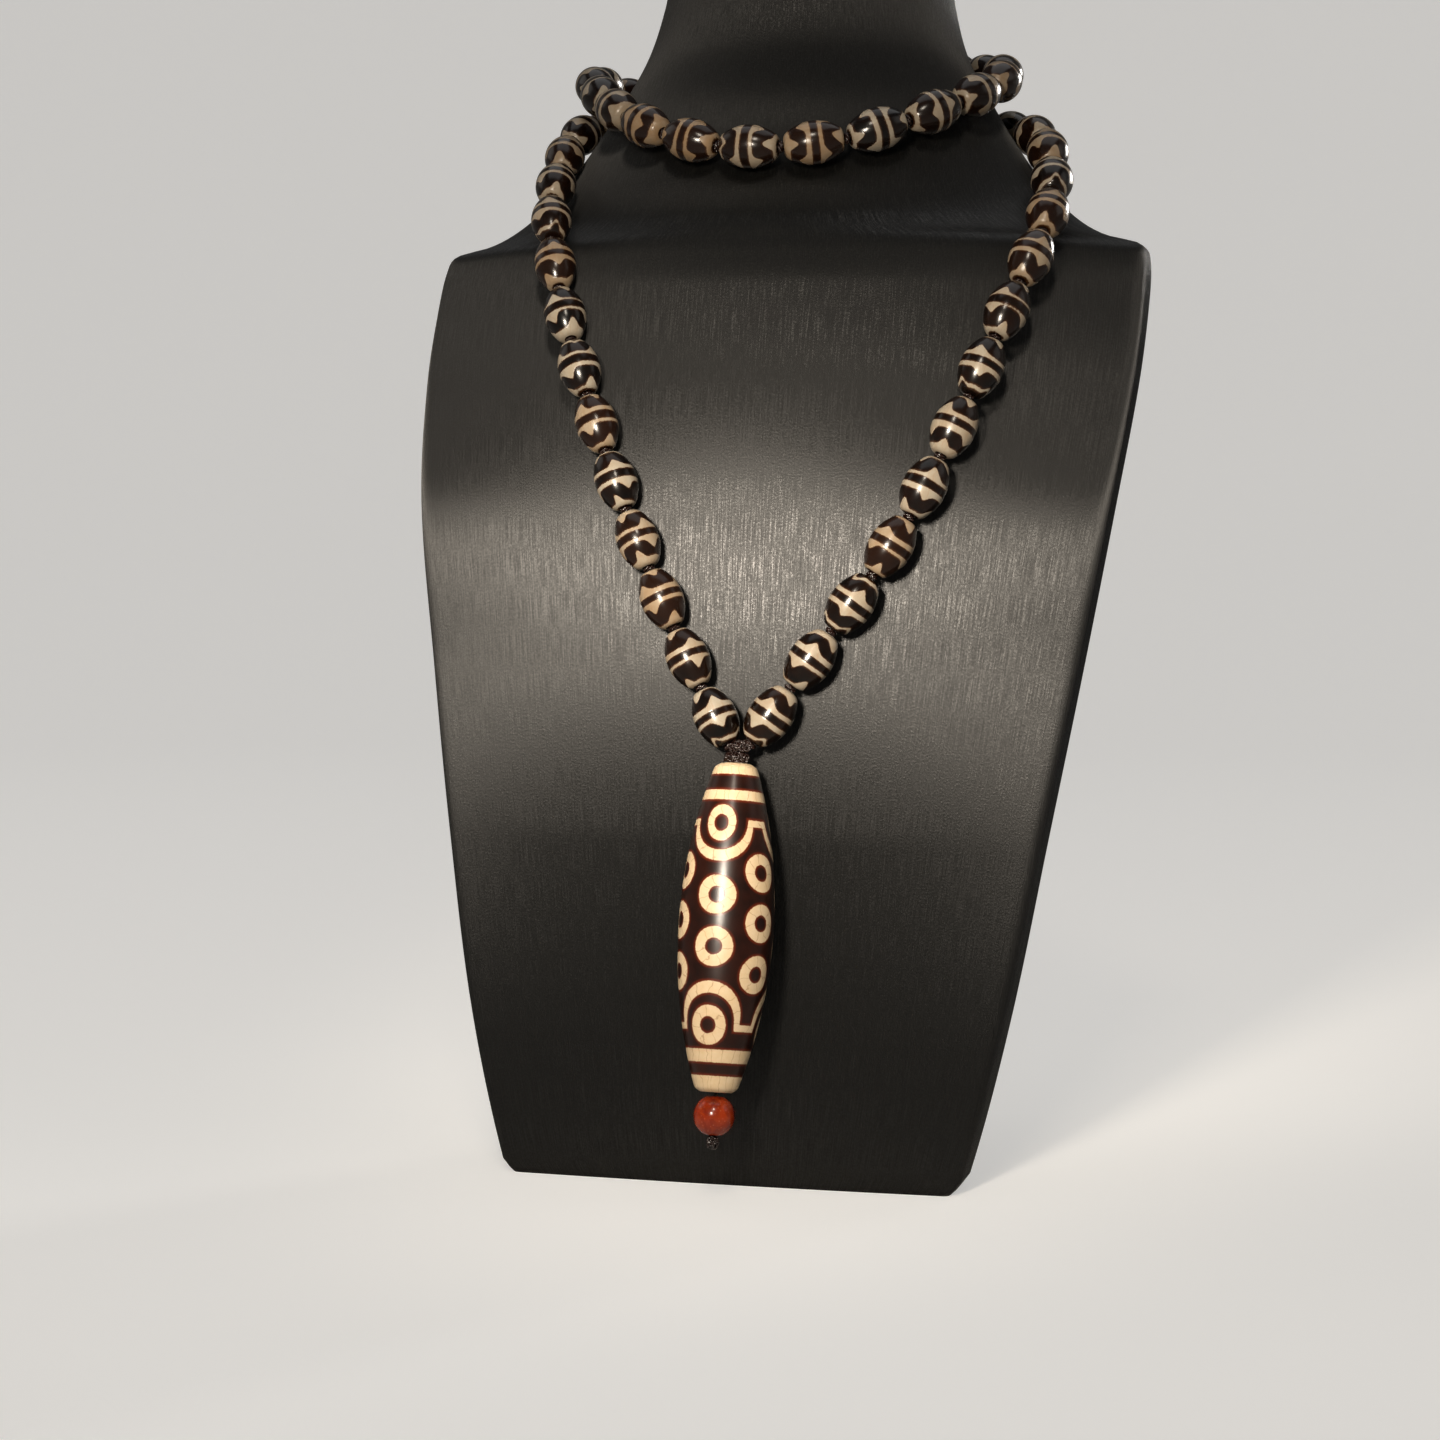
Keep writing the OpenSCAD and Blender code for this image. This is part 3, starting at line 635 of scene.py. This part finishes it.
pendantAgate = etchedAgate("Agate, eyes etched and polished", dark="#0e0402", brown="#2b0e04",
                           cream="#d8c3a3", tan="#c8a97a", rough=0.29, edge="#6b2407", bleed=0.7,
                           speck=0.48)


def makePendant():
    profile = pendantProfile()
    cols = pendant["around"]
    # The first column of points faces the front, and a grows towards +X
    facing, axis = -pendantAxes[:, 1], pendantAxes[:, 2]
    middle = hanging(pendant["top"] + pendant["length"] / 2)
    points = revolve(profile, middle[None], axis[None], facing[None], np.ones(1), cols)
    a = np.linspace(0, 2 * np.pi, cols, endpoint=False)
    z, r = profile[:, 0], profile[:, 1]
    s = pendant["length"] / 2 - z
    etch, run = pendantEtching(s, a, r)
    # The end faces are cream too, and the stone is dark in the bore
    etch = np.where((r < pendant["bore"] / 2 + 0.05)[:, None], -2.0, etch)
    uv = gridUv(len(profile) + 1, cols + 1)
    fields = {"etch": etch[None], "crack": run[None] / pendant["craze"], "tone": np.array(pendant["tone"])}
    piece = makeMesh("pendantStone", points, uv, pendantAgate, wrapRows=True, wrapCols=True, fields=fields)
    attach(piece, "pendant")
    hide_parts("dzi_pendant")


makePendant()
print("pendant made")

# Red bead
redBead = dict(width=9.5, length=8.7, bore=2.0, mouth=((0.2, 0), (0, 0.2)), top=76.85, around=72, along=60,
               dark="#560b02", light="#a03408", speck="#d07a4c")


def redAgate():
    # Heat-treated red agate, polished: translucent orange-red with darker clouds and fine pale specks
    material = newMaterial("Red agate, polished")
    place = addNode(material, "TexCoord").outputs["Object"]
    cloud = addNode(material, "TexNoise",
                    {"Scale": 220.0, "Detail": 4.0, "Roughness": 0.6, "Distortion": 0.6},
                    {"Vector": place}).outputs[0]
    tone = addNode(material, "MapRange", {"From Min": 0.3, "From Max": 0.7}, {"Value": cloud}).outputs[0]
    color = addNode(material, "Mix",
                    {"data_type": "RGBA", 6: linear(redBead["dark"]), 7: linear(redBead["light"])},
                    {0: tone}).outputs[2]
    # Specks 0.3 mm wide, paler than the stone
    speck = addNode(material, "TexVoronoi", {"Scale": 1300.0, "feature": "F1"},
                    {"Vector": place}).outputs[0]
    pale = addNode(material, "MapRange", {"From Min": 0.08, "From Max": 0.3, "To Min": 0.25, "To Max": 0.0},
                   {"Value": speck}).outputs[0]
    specked = addNode(material, "Mix", {"data_type": "RGBA", 7: linear(redBead["speck"])},
                      {0: pale, 6: color}).outputs[2]
    bump = addNode(material, "Bump", {"Strength": 0.3, "Distance": 0.00005}, {"Height": speck}).outputs[0]
    shader = addNode(material, "BsdfPrincipled",
                     {"IOR": 1.54, "Roughness": 0.18, "Coat Weight": 0.1, "Coat Roughness": 0.08,
                      "Subsurface Weight": 0.15, "Subsurface Radius": (0.8, 0.2, 0.08),
                      "Subsurface Scale": 0.002}, {"Base Color": specked, "Normal": bump})
    addNode(material, "OutputMaterial", links={"Surface": shader.outputs[0]})
    return material


def makeRedBead():
    # Ball cut flat round its bore: r = sqrt((width / 2)^2 - z^2)
    half = redBead["length"] / 2
    z = half * np.sin(np.linspace(-np.pi / 2, np.pi / 2, redBead["along"])) * 0.999
    r = np.sqrt((redBead["width"] / 2) ** 2 - z ** 2)
    profile = throughBore(z, r, half, redBead["bore"] / 2, redBead["mouth"], r[0] - 0.2)
    middle = hanging(redBead["top"] + half)
    points = revolve(profile, middle[None], pendantAxes[:, 2][None], -pendantAxes[:, 1][None], np.ones(1),
                     redBead["around"])
    piece = makeMesh("redBeadStone", points, gridUv(len(profile) + 1, redBead["around"] + 1), redAgate(),
                     wrapRows=True, wrapCols=True)
    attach(piece, "pendant")
    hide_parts("red_bead")


makeRedBead()
print("red bead made")

# Thread, with a knot between each pair of beads and the wound knots of the V. Sizes in mm
thread = dict(width=1.0, ply=0.31, sides=8, twist=6.0, groove=0.16, dark="#0b0403", light="#2b1610")
cord = dict(radius=0.6, sides=10, twist=3.0, groove=0.15, top=1.2, foot=86.2, points=60)
# Closed loops for the knots between the beads and for the wound knots, as woundLoops takes them
beadKnot = dict(p=3, q=5, ringR=0.88, tubeR=0.34, height=0.34, points=84)
smallLoop = dict(p=2, q=3, ringR=0.62, tubeR=0.3, height=0.14, points=42)


def waxedThread():
    # Waxed polyester cord, braided: dark brown, with small bright glints on its plies
    material = newMaterial("Brown waxed thread, braided")
    place = addNode(material, "TexCoord").outputs["Object"]
    # Filaments 0.3 mm wide, drawn coarser than real ones so that they show
    fibre = addNode(material, "TexNoise", {"Scale": 3500.0, "Detail": 3.0, "Roughness": 0.7},
                    {"Vector": place}).outputs[0]
    tone = addNode(material, "MapRange", {"From Min": 0.35, "From Max": 0.7}, {"Value": fibre}).outputs[0]
    color = addNode(material, "Mix",
                    {"data_type": "RGBA", 6: linear(thread["dark"]), 7: linear(thread["light"])},
                    {0: tone}).outputs[2]
    # Crossings of the braid, 0.45 mm apart
    braid = addNode(material, "TexVoronoi", {"Scale": 2200.0, "feature": "F1"},
                    {"Vector": place}).outputs[0]
    height = addNode(material, "Math", {"operation": "MULTIPLY_ADD", 1: 0.3},
                     {0: fibre, 2: braid}).outputs[0]
    bump = addNode(material, "Bump", {"Strength": 1.0, "Distance": 0.00022, "invert": True},
                   {"Height": height}).outputs[0]
    shader = addNode(material, "BsdfPrincipled", {"IOR": 1.5, "Roughness": 0.27, "Specular IOR Level": 0.7},
                     {"Base Color": color, "Normal": bump})
    addNode(material, "OutputMaterial", links={"Surface": shader.outputs[0]})
    return material


brownThread = waxedThread()


def tube(path, radius, sides, closed, twist=0.0, groove=0.0, outward=None):
    # Tube round each path, (copies, points, 3): point = path + r (cos t * side + sin t * up), where side is
    # the outward direction made square to the path, and r = radius (1 - groove |cos(t + twist * run)|)
    step = (np.roll(path, -1, 1) - np.roll(path, 1, 1)) if closed else np.gradient(path, axis=1)
    along = unit(step)
    out = (path - path.mean(1, keepdims=True)) if outward is None else np.broadcast_to(outward, path.shape)
    side = unit(out - (out * along).sum(-1, keepdims=True) * along)
    up = np.cross(along, side)
    t = np.linspace(0, 2 * np.pi, sides, endpoint=False)
    run = np.cumsum(np.linalg.norm(np.diff(path, axis=1, prepend=path[:, :1]), axis=-1), 1)[:, :, None]
    r = radius * (1 - groove * abs(np.cos(t + twist * run)))
    across = np.cos(t)[:, None] * side[:, :, None] + np.sin(t)[:, None] * up[:, :, None]
    return path[:, :, None] + r[..., None] * across


def woundLoops(p, q, ringR, tubeR, height, points):
    # Closed loop that winds p times round a ring while it goes q times round the ring's own section:
    # reach = ringR + tubeR cos(q t), point = (reach cos(p t), reach sin(p t), height sin(q t))
    t = np.linspace(0, 2 * np.pi, points, endpoint=False)
    reach = ringR + tubeR * np.cos(q * t)
    return np.stack([reach * np.cos(p * t), reach * np.sin(p * t), height * np.sin(q * t)], -1)


def plyMesh(name, paths):
    # Closed loops of thin thread, twisted
    points = tube(paths, thread["ply"], thread["sides"], True, thread["twist"], thread["groove"])
    uv = gridUv(paths.shape[1] + 1, thread["sides"] + 1)
    return makeMesh(name, points, uv, brownThread, wrapRows=True, wrapCols=True)


def joinPieces(pieces, name, body, nodes):
    # Several meshes of one finish become one piece
    bpy.ops.object.select_all(action="DESELECT")
    for piece in pieces:
        piece.select_set(True)
    bpy.context.view_layer.objects.active = pieces[0]
    bpy.ops.object.join()
    whole = pieces[0]
    whole.name = whole.data.name = name
    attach(whole, body)
    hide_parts(*nodes)


def makeThread():
    # The thread runs straight through each bead, and its two ends go on into the string's knot. Between the
    # beads a closed loop winds about it, turned by a random angle
    ends = np.stack([joints[0], joints[-1]])
    ends = ends * 0.6 + ends.mean(0) * 0.4
    shares = (0.08, 0.35, 0.65, 0.92)  # the points along each bead
    inner = np.stack([joints[:-1] * (1 - k) + joints[1:] * k for k in shares], 1).reshape(-1, 3)
    path = np.concatenate([ends[:1], inner, ends[1:]])[None]
    outward = path - neckMiddle
    outward[..., 2] = 0
    points = tube(path, thread["width"] / 2, thread["sides"], False, outward=outward)
    line = makeMesh("stringThread", points, gridUv(path.shape[1], thread["sides"] + 1), brownThread,
                    wrapCols=True, capEnds=True)
    axes = unit(np.concatenate([beadAxes[:1], beadAxes[1:] + beadAxes[:-1], beadAxes[-1:]]))
    facing = towards(viewSide, axes)
    side = np.cross(axes, facing)
    turn = random.uniform(0, 2 * np.pi, len(joints))[:, None, None]
    loop = woundLoops(**beadKnot)[None]
    x = loop[..., :1] * np.cos(turn) - loop[..., 1:2] * np.sin(turn)
    y = loop[..., :1] * np.sin(turn) + loop[..., 1:2] * np.cos(turn)
    loops = joints[:, None] + x * facing[:, None] + y * side[:, None] + loop[..., 2:] * axes[:, None]
    joinPieces([line, plyMesh("stringKnots", loops)], "stringThread", "bust", ["thread"])


# The wound knots: middle, size, body, node and number of small loops
knots = dict(strandKnotLoops=((joints[0] + joints[-1]) / 2 - [0.3, 0.3, 0.1], (6.0, 3.6, 2.9), "bust",
                              "strand_knot", 11),
             pendantKnotLoops=(pendant["hang"], (5.8, 3.7, 3.1), "drop_knot", "pendant_knot", 11),
             endKnotLoops=(hanging(87.15), (2.7, 2.7, 2.9), "pendant", "end_knot", 8))
knotCore = dict(rows=14, cols=18, latitude=1.5, inset=0.4)
knotLoops = dict(inset=0.42, largest=1.15, goldenAngle=2.39996)


def knotBall(name, middle, size, body, node, count):
    # Wound knot: small trefoils laid flat on an egg, spread over it by the golden angle, round a plain
    # core. Each stands at middle + reach * (sqrt(1 - h^2) cos g, sqrt(1 - h^2) sin g, h), with h from 1 to
    # -1, and the core is middle + (half - inset) * (cos v cos u, cos v sin u, sin v)
    k = np.arange(count)
    h = 1 - (2 * k + 1) / count
    g = k * knotLoops["goldenAngle"]
    out = np.stack([np.sqrt(1 - h ** 2) * np.cos(g), np.sqrt(1 - h ** 2) * np.sin(g), h], -1)
    half = np.array(size) / 2
    axes = unit(out / half)
    reach = half - knotLoops["inset"]
    facing = towards(np.array([0.6, 0.5, 0.3]), axes)  # any side that isn't along an axis
    side = np.cross(axes, facing)
    loop = woundLoops(**smallLoop)[None] * min(knotLoops["largest"], half.min() * 0.8)
    laid = loop[..., :1] * facing[:, None] + loop[..., 1:2] * side[:, None] + loop[..., 2:] * axes[:, None]
    paths = (np.array(middle) + out * reach)[:, None] + laid
    rows, cols, high = knotCore["rows"], knotCore["cols"], knotCore["latitude"]
    v, u = np.linspace(-high, high, rows)[:, None], np.linspace(0, 2 * np.pi, cols, endpoint=False)
    core = np.stack([np.cos(v) * np.cos(u), np.cos(v) * np.sin(u), np.sin(v) + 0 * u], -1)
    core = core * (half - knotCore["inset"]) + middle
    filling = makeMesh(name + "Core", core[None], gridUv(rows, cols + 1), brownThread, wrapCols=True,
                       capEnds=True)
    joinPieces([plyMesh(name, paths), filling], name, body, [node])


def makeCord():
    # Thread through the pendant and the red bead, straight along their bores
    path = hanging(np.linspace(cord["top"], cord["foot"], cord["points"])[:, None])[None]
    points = tube(path, cord["radius"], cord["sides"], False, cord["twist"], cord["groove"],
                  -pendantAxes[:, 1])
    line = makeMesh("pendantThread", points, gridUv(cord["points"], cord["sides"] + 1), brownThread,
                    wrapCols=True, capEnds=True)
    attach(line, "pendant")
    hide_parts("pendant_cord")


makeThread()
for name, row in knots.items():
    knotBall(name, *row)
makeCord()
print("thread and knots made")

# Studio: a pale board that curves up all round. A small key light and a second one above it stand close in
# front, soft lights at both sides, a small one behind the neck and a wide one overhead. Lengths in metres
studio = dict(board="#d8d6d2", boardGlow=0.5, glow="#f4f2ef", world="#e4e6ea", worldStrength=0.06,
              worldSeen=0.6, floorRadius=1.6, bend=1.0, wallTop=3.2)
# What each light is aimed at, its azimuth, elevation and distance from there, and its width, height, power
# in watts, beam in degrees and colour
chest = (0.003, -0.058, 0.135)
nape = (0.0, 0.065, 0.237)
lights = dict(key=(chest, -2, 14.5, 0.6, 0.08, 0.1, 0.25, 30, "#fff2e0"),
              top=(chest, 10, 42, 1.0, 0.12, 0.18, 0.22, 60, "#fff2e0"),
              left=(chest, -100, 34, 1.8, 0.9, 0.9, 1.2, 180, "#fffaf4"),
              right=(chest, 98, 34, 1.8, 0.9, 0.9, 1.0, 180, "#fffaf4"),
              back=(nape, 148, 14, 1.0, 0.24, 0.24, 0.14, 20, "#fffaf4"),
              over=(chest, 180, 80, 2.6, 2.6, 2.6, 13.0, 180, "#ffffff"))


def makeBoard():
    # Floor, quarter bend and wall, turned about the upright axis: r = floorRadius + bend sin t and
    # z = bend (1 - cos t). A little light of its own, for the eye alone, keeps it pale from every side
    t = np.linspace(0, np.pi / 2, 24)
    floor, bend = studio["floorRadius"], studio["bend"]
    r = np.concatenate([[0.01], floor + bend * np.sin(t), [floor + bend]])
    z = np.concatenate([[0.0], bend * (1 - np.cos(t)), [studio["wallTop"]]])
    a = -np.linspace(0, 2 * np.pi, 96, endpoint=False)
    points = np.stack([r[:, None] * np.cos(a), r[:, None] * np.sin(a), z[:, None] + 0 * a], -1)[None] / mm
    material = newMaterial("Pale studio board, matt")
    seen = addNode(material, "LightPath").outputs["Is Camera Ray"]
    glow = addNode(material, "MapRange", {"To Max": studio["boardGlow"]}, {"Value": seen}).outputs[0]
    shader = addNode(material, "BsdfPrincipled",
                     {"Base Color": linear(studio["board"]), "Roughness": 0.75,
                      "Emission Color": linear(studio["glow"])}, {"Emission Strength": glow})
    addNode(material, "OutputMaterial", links={"Surface": shader.outputs[0]})
    board = makeMesh("board", points, gridUv(len(r), len(a) + 1), material, wrapCols=True)


def areaLight(name, target, azimuth, elevation, distance, width, height, power, beam, color):
    # Stands at target + distance * direction, and faces the target
    back = fromFront(azimuth, elevation)
    right = unit(np.cross([0, 0, 1.0], back))
    data = bpy.data.lights.new(name, "AREA")
    data.shape, data.size, data.size_y, data.energy = "RECTANGLE", width, height, power
    data.color, data.spread = linear(color)[:3], math.radians(beam)
    lamp = bpy.data.objects.new(name, data)
    lamp.visible_camera = False
    stand(lamp, right, np.cross(back, right), back, np.array(target) + back * distance)


def makeWorld():
    # Dim soft light all round, while what is seen beyond the board is as pale as the board
    room = bpy.data.worlds.new("studio")
    room.use_nodes = True
    room.node_tree.nodes.clear()
    seen = addNode(room, "LightPath").outputs["Is Camera Ray"]
    strength = addNode(room, "MapRange", {"To Min": studio["worldStrength"], "To Max": studio["worldSeen"]},
                       {"Value": seen}).outputs[0]
    glow = addNode(room, "Background", {"Color": linear(studio["world"])}, {"Strength": strength})
    addNode(room, "OutputWorld", links={"Surface": glow.outputs[0]})
    bpy.context.scene.world = room


makeBoard()
makeWorld()
for name, row in lights.items():
    areaLight(name, *row)
bpy.context.scene.view_settings.view_transform = "Standard"
print("studio made")
